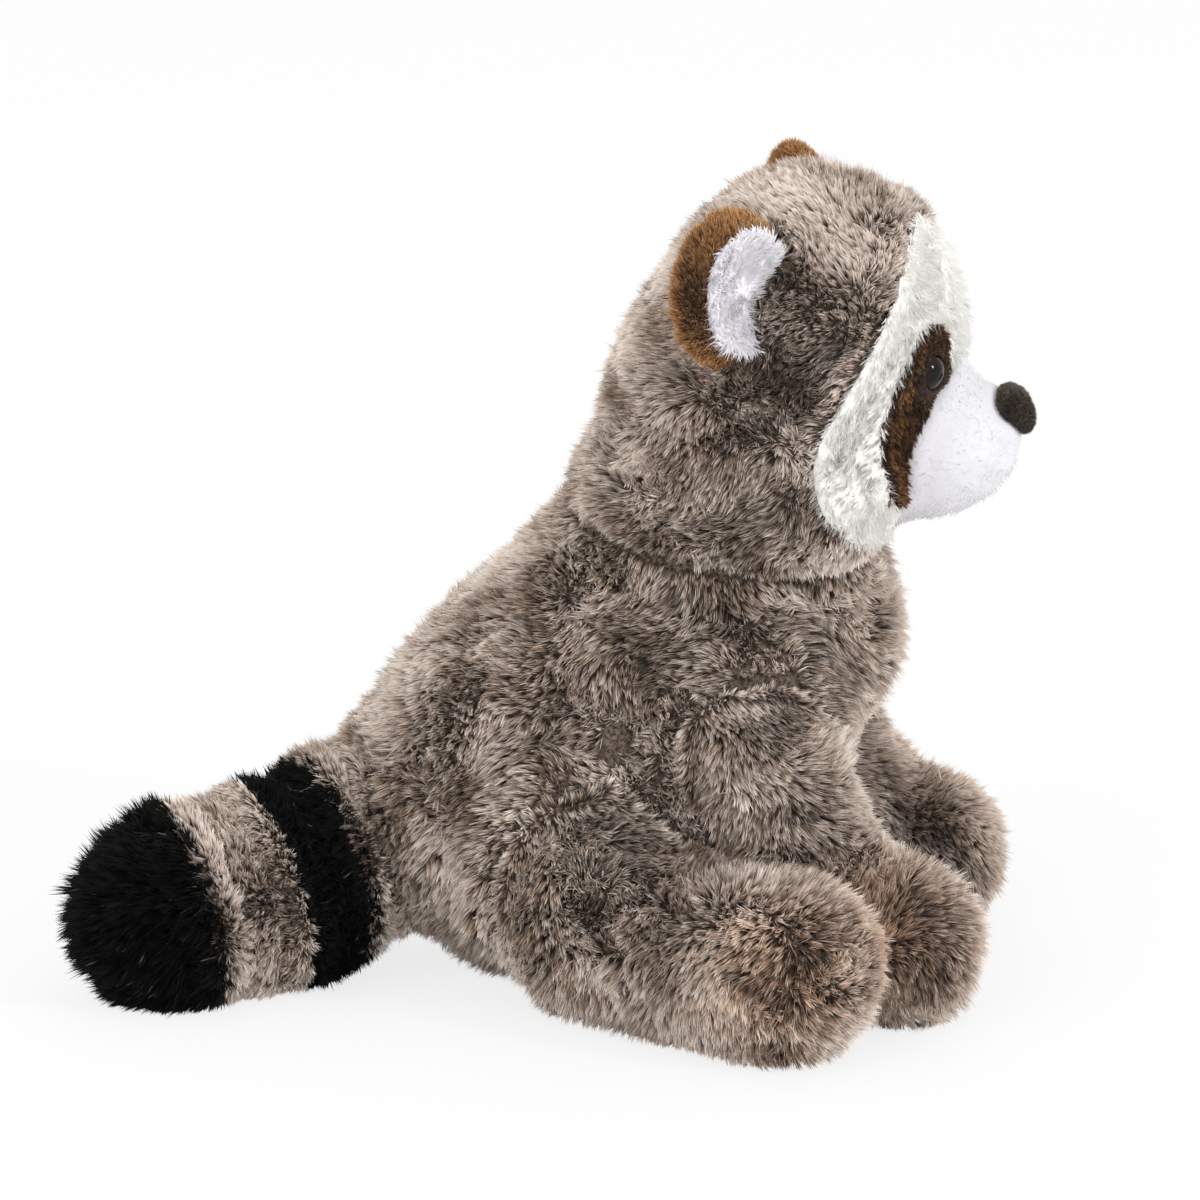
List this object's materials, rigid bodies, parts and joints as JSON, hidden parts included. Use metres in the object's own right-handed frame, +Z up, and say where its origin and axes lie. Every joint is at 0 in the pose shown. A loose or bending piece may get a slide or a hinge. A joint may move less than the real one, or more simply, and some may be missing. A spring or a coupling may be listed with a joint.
{
  "type": "plush raccoon",
  "caption": "Seated stuffed toy raccoon with splayed legs, round ears, masked face and a banded tail that curls to one side.",
  "frame": {"origin": "point on the floor under the middle of the torso's flat seat", "axes": "+X the way the toy faces, +Y its left side, +Z up"},
  "size_m": [0.2611, 0.1948, 0.2313],
  "materials": {
    "grey_plush": "long frosted pile, dark at the root and pale at the tip",
    "white_plush": "long warm white pile",
    "short_white_plush": "short cool white pile",
    "brown_plush": "short dark brown pile with amber tips",
    "black_plush": "long black pile",
    "nose_plush": "very short charcoal pile",
    "eye_plastic": "clear gloss over a brown iris and black pupil",
    "washer_plastic": "matte"
  },
  "bodies": {
    "root": {"torso": "grey_plush", "head": "grey_plush", "muzzle": "short_white_plush", "nose": "nose_plush", "eye_left": "eye_plastic", "eye_right": "eye_plastic", "eye_washer_left": "washer_plastic", "eye_washer_right": "washer_plastic", "eye_patch_left": "brown_plush", "eye_patch_right": "brown_plush", "cheek_band_left": "white_plush", "cheek_band_right": "white_plush", "ear_left": "brown_plush", "ear_right": "brown_plush", "ear_lining_left": "short_white_plush", "ear_lining_right": "short_white_plush", "front_leg_left": "grey_plush", "front_leg_right": "grey_plush", "hind_leg_left": "grey_plush", "hind_leg_right": "grey_plush", "tail_base": "grey_plush", "tail_ring_black": "black_plush", "tail_ring_grey": "grey_plush", "tail_tip": "black_plush"}
  },
  "joints": []
}
